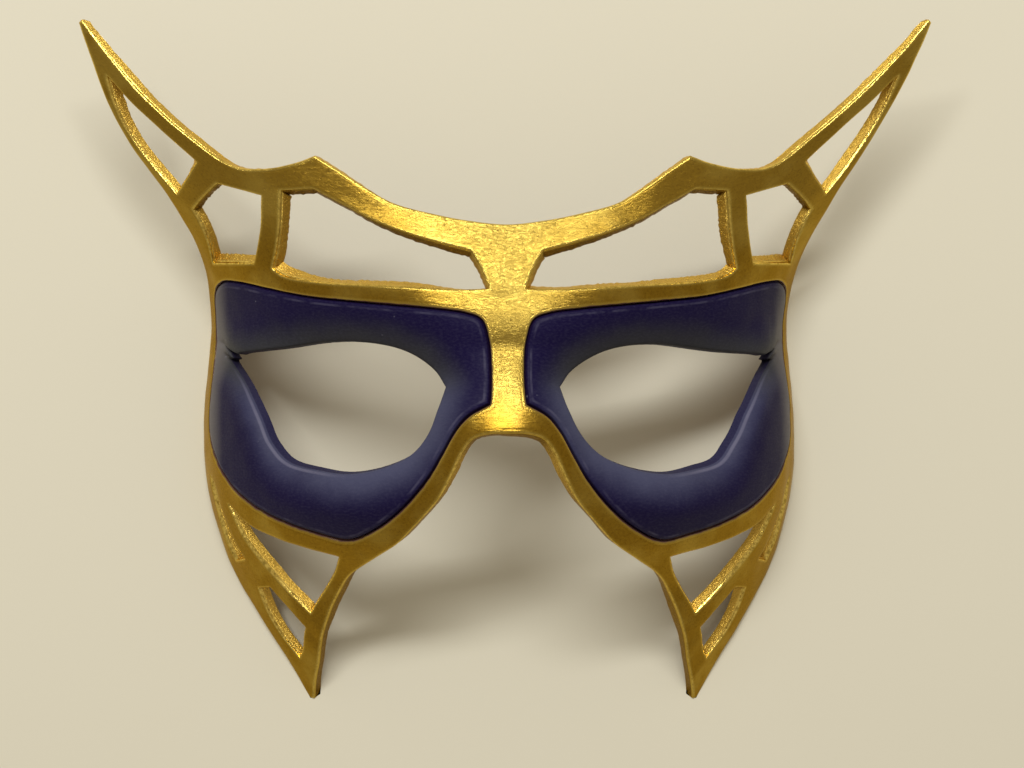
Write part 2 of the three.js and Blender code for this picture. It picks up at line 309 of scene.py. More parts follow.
TEMPLE_WINDOW = table("Knot", "x y corner", [
    (56.5, 23.8, CORNER),
    (54.7, 31.3),
    (54.1, 38.4, CORNER),
    (64.1, 41.4, CORNER),
    (67.4, 39),
    (70.6, 36.1, CORNER),
    (67, 24.5, CORNER),
])

WING_WINDOW = table("Knot", "x y corner", [
    (68.9, 46.6, CORNER),
    (76.5, 53.5),
    (84.3, 60.6),
    (90, 66.6, CORNER),
    (88.5, 61.4),
    (85.3, 54.6),
    (80.9, 48),
    (74.6, 40.1, CORNER),
    (71.6, 43.4),
])

CHEEK_SLIT = table("Knot", "x y corner", [
    (68.7, -25.4, CORNER),
    (67.3, -33.5),
    (65.4, -40.5),
    (63.3, -45.5, CORNER),
    (60.7, -44.7, CORNER),
    (63.1, -40.4),
    (65.4, -34.7),
    (67.5, -27.8),
])

CHEEK_WINDOW = table("Knot", "x y corner", [
    (63.8, -31.6, CORNER),
    (60.2, -39.2),
    (55.5, -45.6),
    (50.1, -51.7),
    (45, -56.8, CORNER),
    (41.1, -50.5),
    (38.6, -46.2),
    (37.3, -42.4, CORNER),
    (45.8, -40.4),
    (52.8, -38.4),
    (59.2, -35.6),
])

POINT_SLIT = table("Knot", "x y corner", [
    (57.7, -52, CORNER),
    (55.6, -58.4),
    (52.8, -63.3),
    (48.7, -68.7, CORNER),
    (47.6, -66.1),
    (46.5, -60.6, CORNER),
    (51, -55.6),
    (54.7, -51.5, CORNER),
])

OPENINGS = (BROW_WINDOW, TEMPLE_WINDOW, WING_WINDOW, CHEEK_SLIT, CHEEK_WINDOW, POINT_SLIT)


class LeatherSettings(PropertyGroup):
    thickness: FloatProperty(
        name="Thickness", description="Thickness of the leather", default=2.8 * MM, unit="LENGTH")
    seam: FloatProperty(
        name="Seam", description="Gap between an eye panel and the frame", default=0.4 * MM,
        unit="LENGTH")
    rim: FloatProperty(
        name="Rounded edge", description="Radius of the front edge of a cut", default=0.5 * MM,
        unit="LENGTH")
    facet: FloatProperty(
        name="Facet", description="Longest edge of the faces of a sheet", default=0.8 * MM,
        unit="LENGTH")
    fine_facet: FloatProperty(
        name="Fine facet", description="Longest edge of the faces at the pinched eye corners",
        default=0.35 * MM, unit="LENGTH")
    ragged: FloatProperty(
        name="Ragged cut", description="How far the back of a cut edge strays", default=0.3 * MM,
        unit="LENGTH")
    flare: FloatProperty(
        name="Flared cut", description="How far a slanting cut widens the back of the frame",
        default=1.3 * MM, unit="LENGTH")
    hand: FloatProperty(
        name="Hand forming", description="Height of the soft unevenness left by hand forming",
        default=0.12 * MM, unit="LENGTH")


class FinishSettings(PropertyGroup):
    gold: FloatVectorProperty(
        name="Gold", description="Gold paint", subtype="COLOR", default=(0.295, 0.162, 0.01))
    # Paler gold: heavier paint, plus painted highlight on rims and on the crinkled middle and upper
    # tracery
    gold_pale: FloatVectorProperty(
        name="Pale gold", description="Gold where the paint is thick", subtype="COLOR",
        default=(0.56, 0.41, 0.085))
    # Also painted shade on cut walls that look down
    gold_dark: FloatVectorProperty(
        name="Dark gold", description="Gold in the grain of the leather", subtype="COLOR",
        default=(0.212, 0.109, 0.005))
    gold_wall: FloatVectorProperty(
        name="Gold walls", description="Gold on the rough walls of the cuts", subtype="COLOR",
        default=(0.66, 0.42, 0.068))
    # Painted highlight: glints along the front arris of a cut
    gold_glint: FloatVectorProperty(
        name="Gold glint", description="Gold rubbed bright along the arris of a cut", subtype="COLOR",
        default=(0.92, 0.67, 0.16))
    blue: FloatVectorProperty(
        name="Blue", description="Dyed panel leather", subtype="COLOR", default=(0.0062, 0.0032, 0.034))
    # Above the eye hole: partly faded dye, partly painted sheen
    lid_grey: FloatVectorProperty(
        name="Lid grey", description="Faded dye above the eye hole", subtype="COLOR",
        default=(0.033, 0.034, 0.039))
    lower_grey: FloatVectorProperty(
        name="Lower grey", description="Faded dye below the eye hole", subtype="COLOR",
        default=(0.06, 0.064, 0.12))
    # Painted highlight along rolled edges and the lower lip; also pale dust on the dye
    highlight_and_dust: FloatVectorProperty(
        name="Highlight_and_dust", description="Dye rubbed pale along rolled edges", subtype="COLOR",
        default=(0.17, 0.165, 0.24))
    # Painted sheen: grey on the steep temples
    painted_sheen: FloatVectorProperty(
        name="Painted_sheen", description="Dye rubbed grey on the steep temples", subtype="COLOR",
        default=(0.2, 0.185, 0.175))
    ink: FloatVectorProperty(
        name="Ink", description="Dark purple ink in the seam and on cut walls", subtype="COLOR",
        default=(0.045, 0.007, 0.034))
    speck: FloatVectorProperty(
        name="Speck", description="Rare pale specks on the dye", subtype="COLOR",
        default=(0.35, 0.35, 0.42))
    back: FloatVectorProperty(
        name="Back", description="Plain back of the leather", subtype="COLOR",
        default=(0.17, 0.085, 0.04))


class StageSettings(PropertyGroup):
    floor: FloatVectorProperty(
        name="Floor", description="Pale surface under the mask", subtype="COLOR",
        default=(0.7, 0.665, 0.535))
    air: FloatVectorProperty(
        name="Room", description="Light from all round", subtype="COLOR", default=(1, 0.9, 0.74))
    air_strength: FloatProperty(name="Room strength", description="Strength of that light", default=0.45)
    window_power: FloatProperty(
        name="Window power", description="Power of the long light above the brow", default=9.2,
        unit="POWER")
    camera_height: FloatProperty(
        name="Camera height", description="Height of the camera over the floor", default=450 * MM,
        unit="LENGTH")
    lens: FloatProperty(
        name="Lens", description="Focal length", default=65.65, unit="CAMERA")


# Shape of the moulded leather, on arrays of millimetres

HEIGHTS = np.array([row.height for row in FORM], float)
SIZES = np.array([row[1:] for row in FORM], float)


def section(v):
    """Crown, half width and fall of the face form at heights v, on a smooth curve through FORM."""
    v = np.clip(v, HEIGHTS[0], HEIGHTS[-1])
    last = len(HEIGHTS) - 1
    i = np.clip(np.searchsorted(HEIGHTS, v, side="right") - 1, 0, last - 1)
    before = np.where(i == 0, i + 1, i - 1)
    after = np.where(i + 1 == last, i, i + 2) % (last + 1)
    start, end = HEIGHTS[i], HEIGHTS[i + 1]
    half_span = (end - start) / 2
    lead = half_span / (start - HEIGHTS[before])
    trail = half_span / (HEIGHTS[after] - end)
    p = (v - start) / (end - start)
    weights = (
        (-p ** 3 + 2 * p ** 2 - p) * lead,
        (1 + lead) * p ** 3 - (1.5 + 2 * lead) * p ** 2 + (lead - 0.5) * p + 1,
        (-1 - trail) * p ** 3 + (1.5 + trail) * p ** 2 + 0.5 * p,
        (p ** 3 - p ** 2) * trail,
    )
    rows = (before, i, i + 1, after)
    return sum(weight[:, None] * SIZES[row] for weight, row in zip(weights, rows)).T


def form_point(u, v):
    """Points of the flat sheet laid on the smooth form."""
    crown, half, fall = section(v)
    turn = u / SHEET_RADIUS
    return np.stack([half * np.sin(turn), v, crown - fall * (1 - np.cos(turn))], axis=1)


def form_normal(u, v):
    across = form_point(u + SLOPE_STEP, v) - form_point(u - SLOPE_STEP, v)
    up = form_point(u, v + SLOPE_STEP) - form_point(u, v - SLOPE_STEP)
    normal = np.cross(across, up)
    return normal / np.linalg.norm(normal, axis=1)[:, None]


def mould(u, v, lift):
    """Points of the sheet moulded on the form, at heights above it, leaning a little to the left."""
    place = form_point(u, v) + form_normal(u, v) * lift[:, None]
    lean = LEAN["slope"] * (LEAN["top"] - place[:, 2]) * np.exp(-((v / LEAN["tall"]) ** 2))
    wing_lean = WING_LEAN["shift"] * np.exp(-(((v - WING_LEAN["height"]) / WING_LEAN["tall"]) ** 2))
    place[:, 0] += CENTRE["x"] - lean - wing_lean
    place[:, 1] += CENTRE["y"]
    place[:, 2] = np.maximum(place[:, 2], 0)
    return place


def unroll(x, y):
    """A point seen from the front, on the flat sheet."""
    half = section(np.array([y], float))[1][0]
    return Vector((SHEET_RADIUS * math.asin(x / half), y, 0))


def curve_through(knots):
    """A smooth line through knots on the flat sheet."""
    run = [2 * knots[0] - knots[1], *knots, 2 * knots[-1] - knots[-2]]
    line = []
    for before, start, end, after in zip(run, run[1:], run[2:], run[3:]):
        a, b, c = (math.sqrt((q - p).length) for p, q in ((before, start), (start, end), (end, after)))
        leave = (start - before) / a - (end - before) / (a + b) + (end - start) / b
        arrive = (end - start) / b - (after - start) / (b + c) + (after - end) / c
        handles = (start + leave * b / 3, end - arrive * b / 3)
        line += interpolate_bezier(start, *handles, end, CURVE_STEPS)[:-1]
    return np.array([*line, knots[-1]])[:, :2]


def spaced(line, step):
    """Evenly spaced points on a line, without its last one."""
    run = np.concatenate([[0], np.cumsum(np.hypot(*np.diff(line, axis=0).T))])
    count = max(1, round(run[-1] / step))
    along = np.linspace(0, run[-1], count + 1)[:-1]
    return np.stack([np.interp(along, run, column) for column in line.T], axis=1)


def edge_points(rows, step=EDGE_STEP):
    """A closed edge as points on the flat sheet: a smooth curve between each corner and the next."""
    first = next((i for i, row in enumerate(rows) if row.corner), 0)
    ring = [*rows[first:], *rows[:first], rows[first]]
    stretches = []
    stretch = []
    for i, row in enumerate(ring):
        stretch.append(unroll(row.x, row.y))
        if i and (row.corner or i == len(ring) - 1):
            stretches.append(spaced(curve_through(stretch), step))
            stretch = stretch[-1:]
    return np.concatenate(stretches)


def left_hole(row):
    """A row of the left eye hole, in the right half's measure."""
    x, y = row.x, row.y
    for shift in LEFT_SHIFTS:
        near = math.exp(-((row.x - shift.x) ** 2 + (row.y - shift.y) ** 2) / shift.reach ** 2)
        x += shift.out * near
        y += shift.up * near
    return row._replace(x=x, y=y)


def eye_hole(side, step=EDGE_STEP):
    """The edge of one eye hole, in the right half's measure."""
    return edge_points([left_hole(row) for row in EYE_HOLE] if side == "left" else EYE_HOLE, step)


def mirrored(points):
    return points * (-1, 1)


def whole_edge(rows, step=EDGE_STEP):
    """The outer edge: from the brow down the right side to the nose, and back up the left."""
    left = [row._replace(x=-row.x) for row in rows[-2:0:-1]]
    return edge_points([*rows, *left], step)


def inset(points, gap):
    """A closed edge moved inwards by a gap."""
    along = np.roll(points, -1, axis=0) - np.roll(points, 1, axis=0)
    inwards = np.stack([-along[:, 1], along[:, 0]], axis=1)
    inwards /= np.linalg.norm(inwards, axis=1)[:, None]
    area = np.sum(points[:, 0] * np.roll(points[:, 1], -1) - points[:, 1] * np.roll(points[:, 0], -1))
    return points + inwards * gap * np.sign(area)


def distances(edge, u, v):
    """How far points of the flat sheet are from an edge."""
    tree = KDTree(len(edge))
    for i, (a, b) in enumerate(edge):
        tree.insert((a, b, 0), i)
    tree.balance()
    return np.array([tree.find((a, b, 0))[2] for a, b in zip(u, v)])


def smooth_between(value, low, high):
    t = np.clip((value - low) / (high - low), 0, 1)
    return t * t * (3 - 2 * t)


def dip(depth, reach, distance):
    """A dip that is deepest at the edge and fades out at its reach."""
    return depth * np.maximum(0, 1 - distance / reach) ** 2


def mix(low, high, share):
    return low + (high - low) * share


def relief(u, v, eye):
    """Height of the modelled leather above the smooth form, on the right half."""
    x = form_point(u, v)[:, 0]
    lift = np.zeros_like(u)
    for row in RISES:
        tall = ((v - row.y) / row.tall) ** 2
        for side in (1, -1):
            lift += row.lift * np.exp(-(((x - side * row.x) / row.wide) ** 2) - tall)
    upper = smooth_between(v, SOCKET_TURN["low"], SOCKET_TURN["high"])
    side = mix(1, SOCKET_SIDE["keep"], smooth_between(x, SOCKET_SIDE["from"], SOCKET_SIDE["to"]))
    depth = side * mix(SOCKET_LOWER["depth"], SOCKET_UPPER["depth"], upper)
    lift -= dip(depth, mix(SOCKET_LOWER["reach"], SOCKET_UPPER["reach"], upper), eye)
    lift -= dip(LIP["depth"] * lip_share(x, v), LIP["reach"], eye)
    corner = unroll(LID_CORNER["x"], LID_CORNER["y"])
    out = u - corner.x
    above = v - corner.y - LID_CORNER["rise"] * out
    near = np.exp(-(out ** 2 + above ** 2) / LID_STEP["reach"] ** 2)
    lift += LID_STEP["lift"] * near * np.tanh(above / LID_STEP["soft"])
    return lift


def pleats(u, v):
    """Height of the pinched folds at the outer corner of the eye, on the right half."""
    corner = unroll(LID_CORNER["x"], LID_CORNER["y"])
    lift = np.zeros_like(u)
    for row in PLEATS:
        turn = math.radians(row.turn)
        out = u - corner.x - row.out
        up = v - corner.y - row.up
        along = out * math.cos(turn) + up * math.sin(turn)
        over = up * math.cos(turn) - out * math.sin(turn)
        lift += row.lift * np.exp(-((along / row.long) ** 2) - (over / row.wide) ** 2)
    return lift


def unevenness(u, v, size, seed):
    """Soft noise on the flat sheet, from about -1 to 1."""
    return np.array([noise.noise((a / size, b / size, seed)) for a, b in zip(u, v)])


# Cutting a flat sheet

def cut_sheet(outline, holes, leather, fine_at=()):
    """A flat piece of leather in millimetres, with its front edges rounded and its faces small."""
    rim = leather.rim / MM
    thickness = leather.thickness / MM
    bm = bmesh.new()
    for points in (outline, *holes):
        ring = [bm.verts.new((u, v, -rim)) for u, v in points]
        for a, b in zip(ring, ring[1:] + ring[:1]):
            bm.edges.new((a, b))
    bmesh.ops.triangle_fill(bm, edges=bm.edges[:], normal=(0, 0, 1), use_beauty=True)
    field = bm.faces[:]
    for ring in round_front_edge(bm, field, rim):
        ring.material_index = 1
    refine(bm, leather, fine_at)
    front = bm.verts[:]
    made = bmesh.ops.extrude_face_region(bm, geom=bm.faces[:])
    for vert in (item for item in made["geom"] if isinstance(item, bmesh.types.BMVert)):
        vert.co.z = -thickness - vert.co.z * BACK_ROUNDING
    front = set(front)
    walls = [edge for edge in bm.edges if (edge.verts[0] in front) != (edge.verts[1] in front)]
    bmesh.ops.subdivide_edges(bm, edges=walls, cuts=WALL_CUTS, use_grid_fill=True)
    bmesh.ops.recalc_face_normals(bm, faces=bm.faces[:])
    for face in bm.faces:
        face.smooth = True
        face.material_index = 0
    return bm


def round_front_edge(bm, field, rim):
    """Rings of faces round a field of faces that turn its edge down; gives the ring faces."""
    rings = []
    reached = 0
    for turn in RIM_TURNS:
        angle = math.radians(turn)
        across = rim * (1 - math.cos(angle))
        made = bmesh.ops.inset_region(bm, faces=field, thickness=across - reached, use_boundary=True)
        reached = across
        rings += made["faces"]
        for vert in {vert for face in field for vert in face.verts}:
            vert.co.z = -rim * (1 - math.sin(angle))
    return rings


def refine(bm, leather, fine_at):
    """Divides the field inside the rings into small even faces."""
    facet = leather.facet / MM
    fine = leather.fine_facet / MM
    for _ in range(REFINE_ROUNDS):
        inner = [edge for edge in bm.edges if all(face.material_index == 0 for face in edge.link_faces)]
        long = []
        for edge in inner:
            middle = (edge.verts[0].co + edge.verts[1].co) / 2
            close = any((middle.xy - place).length < reach for place, reach in fine_at)
            if edge.calc_length() > LONG_EDGE * (fine if close else facet):
                long.append(edge)
        if not long:
            break
        bmesh.ops.subdivide_edges(bm, edges=long, cuts=1)
        field = [face for face in bm.faces if face.material_index == 0]
        bmesh.ops.triangulate(bm, faces=field)
        tidy_field(bm)
    for _ in range(SMOOTH_ROUNDS):
        tidy_field(bm)


def tidy_field(bm):
    """Evens out the faces inside the rings."""
    field = [face for face in bm.faces if face.material_index == 0]
    edges = [edge for edge in bm.edges if all(face.material_index == 0 for face in edge.link_faces)]
    bmesh.ops.beautify_fill(bm, faces=field, edges=edges)
    free = [vert for vert in bm.verts if all(face.material_index == 0 for face in vert.link_faces)]
    bmesh.ops.smooth_vert(
        bm, verts=free, factor=0.5, use_axis_x=True, use_axis_y=True, use_axis_z=False)


def slanted_share(u, v, outwards, outer):
    """How much each cut of the frame slants: most on bars and posts, least on crown and points."""
    side = np.abs(u)
    up = outwards[:, 1]
    out = outwards[:, 0] * np.sign(u)
    upper = smooth_between(v, *TRACERY)
    crown = smooth_between(up, *CROWN_CUT["facing"]) * smooth_between(v, *CROWN_CUT["heights"]) * outer
    temple = TEMPLE_CUT["less"] * smooth_between(side, *TEMPLE_CUT["sides"]) * upper
    temple *= 1 - smooth_between(v, *TEMPLE_CUT["heights"])
    bar = BAR_CUT["more"] * smooth_between(up, *BAR_CUT["facing"])
    bar *= smooth_between(v, *BAR_CUT["heights"]) * (1 - upper)
    cheek = smooth_between(out, *CHEEK_CUT["facing"]) * (1 - smooth_between(v, *CHEEK_CUT["heights"]))
    post = POST_CUT["more"] * smooth_between(-out, *POST_CUT["facing"])
    post *= smooth_between(side, *POST_CUT["inner"])
    post *= upper * (1 - smooth_between(side, *POST_CUT["outer"]))
    plain = (1 - crown) * (1 - temple) * (1 - cheek) * smooth_between(v, *POINT_CUT)
    return plain * (1 + bar + post)


def cut_stray(u, v, outwards, behind, seam, lip, outer, leather, panel):
    """How far a cut's wall strays outwards: knife slant and ragged fibres, or a tongue in the seam."""
    ragged = leather.ragged / MM * unevenness(u, v, FIBRES["size"], FIBRES["seed"]) * behind
    ragged *= mix(FIBRES["low"], 1, smooth_between(v, *FIBRES["heights"]))
    uneven = KNIFE["uneven"] * unevenness(u, v, KNIFE["size"], KNIFE["seed"])
    slant = leather.flare / MM * (KNIFE["even"] + uneven) * behind
    at_seam = 1 - smooth_between(seam, *NEAR_EDGE)
    if panel:
        tongue = leather.seam / MM * smooth_between(behind, *TONGUE_DEPTH)
        return mix(slant * lip * PANEL_CUT["slant"] + ragged * PANEL_CUT["ragged"], tongue, at_seam)
    return (slant * slanted_share(u, v, outwards, outer) + ragged) * (1 - at_seam)


def lip_share(x, v):
    """1 on the lower outer lip of the eye hole, 0 away from it."""
    lower = 1 - smooth_between(v, SOCKET_TURN["low"], SOCKET_TURN["high"])
    return smooth_between(x, LIP["from"], LIP["to"]) * lower


def crinkled_and_highlit_share(u, v):
    """1 where the gold is crinkled between the brows, less on the wings, least on the smooth cheeks. The
    same share lays a painted highlight of paler gold.
    """
    middle = np.exp(-((u / CRINKLED_AND_HIGHLIT["wide"]) ** 2)) * smooth_between(v, *CRINKLED_AND_HIGHLIT["heights"])
    upper = smooth_between(v, *CRINKLED_AND_HIGHLIT["from"])
    return CRINKLED_AND_HIGHLIT["least"] + CRINKLED_AND_HIGHLIT["brow"] * middle + CRINKLED_AND_HIGHLIT["upper"] * upper


def steep_share(x, v):
    """1 on the steep temples, where a grey sheen is painted on the dye."""
    return smooth_between(x + STEEP["shift"] * smooth_between(v, *STEEP["heights"]), *STEEP["sides"])


def store(mesh, name, values, kind="FLOAT"):
    attribute = mesh.attributes.new(name, kind, "POINT")
    field = "vector" if kind == "FLOAT_VECTOR" else "value"
    attribute.data.foreach_set(field, np.asarray(values, np.float32).ravel())


def mould_sheet(name, bm, edge, leather, panel):
    """The flat sheet as an object, moulded over the form, with what its finish follows kept on it."""
    mesh = bpy.data.meshes.new(name)
    bm.to_mesh(mesh)
    bm.free()
    flat = np.empty(len(mesh.vertices) * 3, np.float32)
    mesh.vertices.foreach_get("co", flat)
    flat = flat.reshape(-1, 3).astype(float)
    u, v, w = flat.T
    outwards = np.empty(len(mesh.vertices) * 3, np.float32)
    mesh.vertex_normals.foreach_get("vector", outwards)
    outwards = outwards.reshape(-1, 3)[:, :2]
    right = np.abs(u)
    eye = np.where(
        u < 0,
        distances(eye_hole("left", FINE_STEP), right, v),
        distances(eye_hole("right", FINE_STEP), right, v))
    seam = distances(edge_points(PANEL_EDGE, FINE_STEP), right, v)
    thickness = leather.thickness / MM
    behind = np.clip((-w - leather.rim / MM) / (thickness - leather.rim / MM), 0, 1)
    pared = 1 - SKIVE["share"] * smooth_between(v, SKIVE["from"], SKIVE["to"])
    lift = w * pared + relief(right, v, eye)
    lift += leather.hand / MM * unevenness(u, v, HAND["size"], HAND["seed"])
    if panel:
        lift += pleats(right, v) - dip(PANEL_SINK, PANEL_ROLL, seam)
    x = form_point(right, v)[:, 0]
    lip = lip_share(x, v)
    outer = 1 - smooth_between(distances(whole_edge(OUTER_EDGE, FINE_STEP), u, v), *NEAR_EDGE)
    stray = cut_stray(u, v, outwards, behind, seam, lip, outer, leather, panel)
    place = mould(u + stray * outwards[:, 0], v + stray * outwards[:, 1], lift)
    mesh.vertices.foreach_set("co", (place * MM).astype(np.float32).ravel())
    store(mesh, "flat", flat * MM, "FLOAT_VECTOR")
    store(mesh, "edge", distances(edge, u, v))
    store(mesh, "eye", eye)
    store(mesh, "seam", seam)
    store(mesh, "behind", behind)
    store(mesh, "lip", lip)
    store(mesh, "steep", steep_share(x, v))
    store(mesh, "crinkled_and_highlit", crinkled_and_highlit_share(u, v))
    # Painted shade: how far a cut wall looks down
    store(mesh, "under", smooth_between(-outwards[:, 1], *UNDERSIDE))
    mesh.update()
    mesh.set_sharp_from_angle(angle=SHARP_ANGLE)
    piece = bpy.data.objects.new(name, mesh)
    bpy.context.scene.collection.objects.link(piece)
    return piece


# Finishes

class Socket:
    """A node's output; arithmetic on it adds Math nodes."""

    def __init__(self, finish, output):
        self.finish = finish
        self.output = output

    def _math(self, operation, first, second):
        return self.finish.node("ShaderNodeMath", {"operation": operation}, {0: first, 1: second})

    def __add__(self, other):
        return self._math("ADD", self, other)

    def __sub__(self, other):
        return self._math("SUBTRACT", self, other)

    def __rsub__(self, other):
        return self._math("SUBTRACT", other, self)

    def __mul__(self, other):
        return self._math("MULTIPLY", self, other)

    def __pow__(self, other):
        return self._math("POWER", self, other)

    __radd__ = __add__
    __rmul__ = __mul__


class Finish:
    """A material's node tree, with short words for what the finishes here use."""

    def __init__(self, name):
        self.material = bpy.data.materials.new(name)
        self.material.use_nodes = True
        self.tree = self.material.node_tree
        self.tree.nodes.clear()

    def node(self, kind, settings=None, inputs=None, output=0):
        made = self.tree.nodes.new(kind)
        for name, value in (settings or {}).items():
            setattr(made, name, value)
        for key, value in (inputs or {}).items():
            if isinstance(value, Socket):
                self.tree.links.new(value.output, made.inputs[key])
            else:
                made.inputs[key].default_value = value
        return Socket(self, made.outputs[output])

    def attribute(self, name, output="Fac"):
        return self.node("ShaderNodeAttribute", {"attribute_name": name}, output=output)

    def flat(self, scale=(1, 1, 1), turn=0):
        """Place on the flat sheet, stretched and turned."""
        place = self.attribute("flat", "Vector")
        turned = {"Vector": place, "Scale": scale, "Rotation": (0, 0, turn)}
        return self.node("ShaderNodeMapping", None, turned)

    def noise(self, place, scale, detail=3, roughness=0.5, distortion=0):
        inputs = {"Vector": place, "Scale": scale, "Detail": detail}
        inputs.update({"Roughness": roughness, "Distortion": distortion})
        return self.node("ShaderNodeTexNoise", None, inputs, "Fac")

    def cells(self, place, scale):
        return self.node("ShaderNodeTexVoronoi", None, {"Vector": place, "Scale": scale}, "Distance")

    def between(self, value, low, high):
        """A soft change from 0 at one value to 1 at another."""
        inputs = {"Value": value, "From Min": low, "From Max": high}
        return self.node("ShaderNodeMapRange", {"interpolation_type": "SMOOTHSTEP"}, inputs)

    def blend(self, share, first, second):
        """A mix of two colours."""
        colours = [colour if isinstance(colour, Socket) else (*colour, 1) for colour in (first, second)]
        inputs = {0: share, 6: colours[0], 7: colours[1]}
        return self.node("ShaderNodeMix", {"data_type": "RGBA"}, inputs, 2)

    def bump(self, height, distance, strength):
        inputs = {"Height": height, "Distance": distance, "Strength": strength}
        return self.node("ShaderNodeBump", None, inputs)

    def finished(self, **inputs):
        """Closes the tree with its surface shader."""
        surface = self.node("ShaderNodeBsdfPrincipled", None, inputs)
        output = self.tree.nodes.new("ShaderNodeOutputMaterial")
        self.tree.links.new(surface.output, output.inputs["Surface"])
        return self.material


def gold_leather(colours):
    """Gold paint brushed over grained leather, with a plain back. Rims are paler from wear and a painted
    highlight, the crinkled middle and upper tracery take a painted highlight, arrises painted glints,
    and walls that look down painted shade.
    """
    finish = Finish("gold_leather")
    flat = finish.flat()
    edge = finish.attribute("edge")
    seam = finish.attribute("seam")
    under = finish.attribute("under")
    behind = finish.attribute("behind")
    crinkled_and_highlit = finish.attribute("crinkled_and_highlit")
    grain = finish.noise(flat, scale=1700, detail=4, roughness=0.6, distortion=0.8)
    bent = finish.flat(scale=(1, 1.5, 1), turn=0.6)
    crinkle = finish.noise(bent, scale=900, detail=5, roughness=0.65, distortion=2.2)
    brushed = finish.flat(scale=(0.22, 1, 1), turn=0.1)
    streak = finish.noise(brushed, scale=1300, detail=4, roughness=0.6, distortion=0.6)
    coarse = finish.noise(flat, scale=1200, detail=4, roughness=0.7)
    patch = finish.between(finish.noise(flat, scale=90), 0.45, 0.7)
    tooled = finish.between(finish.noise(flat, scale=70, detail=2), 0.4, 0.6)
    back = finish.between(behind, *BACK_FACE)
    wall = finish.between(behind, 0.02, 0.2)
    rim = finish.between(edge, 0.9, 0.25) * (1 - wall)
    groove = finish.between(edge, 0.5, 0.75) * finish.between(edge, 1.15, 0.85) * (1 - wall)
    # Painted glint: pale gold along the front arris of a cut, broken up by noise, left off the
    # undersides and the seam
    arris = finish.between(edge, 0.5, 0.1) * finish.between(behind, 0.3, 0.05) * (1 - under)
    arris = arris * finish.between(seam, 0.5, 1.2)
    inked = finish.between(seam + finish.noise(flat, scale=500) * 0.4, 0.55, 0.25)
    paint = finish.blend(finish.between(grain, 0.3, 0.7), colours.gold_dark, colours.gold)
    # Paler gold: heavier paint in patches, rims paler from wear and a painted highlight, and a painted
    # highlight where the gold is crinkled
    thick_and_highlit = patch * GOLD_THICK_AND_HIGHLIT["patch"] + rim * GOLD_THICK_AND_HIGHLIT["rim"] + crinkled_and_highlit * GOLD_THICK_AND_HIGHLIT["crinkled_and_highlit"]
    paint = finish.blend(thick_and_highlit, paint, colours.gold_pale)
    # Cut walls in their own gold, with painted shade on walls that look down
    paint = finish.blend(wall, paint, finish.blend(under, colours.gold_wall, colours.gold_dark))
    paint = finish.blend(arris * finish.between(coarse, 0.35, 0.6), paint, colours.gold_glint)
    paint = finish.blend(inked * 0.9, paint, colours.ink)
    paint = finish.blend(back, paint, colours.back)
    rough = GOLD_ROUGH["paint"] + grain * GOLD_ROUGH["grain"] - wall * GOLD_ROUGH["wall"]
    rough = rough - rim * GOLD_ROUGH["rim"] - arris * GOLD_ROUGH["arris"] + back * GOLD_ROUGH["back"]
    height = crinkle * crinkled_and_highlit * GOLD_RELIEF["crinkle"] + streak * GOLD_RELIEF["streak"]
    height = height + grain * GOLD_RELIEF["grain"] - groove * tooled * GOLD_RELIEF["groove"]
    height = height + coarse * wall * GOLD_RELIEF["wall"]
    return finish.finished(**{
        "Base Color": paint,
        "Roughness": rough,
        "Metallic": (1 - back) * (1 - wall * 0.3) * (1 - inked * 0.85),
        "Specular Tint": GOLD_EDGE_TINT,
        "Normal": finish.bump(height, distance=0.17 * MM, strength=0.9),
    })


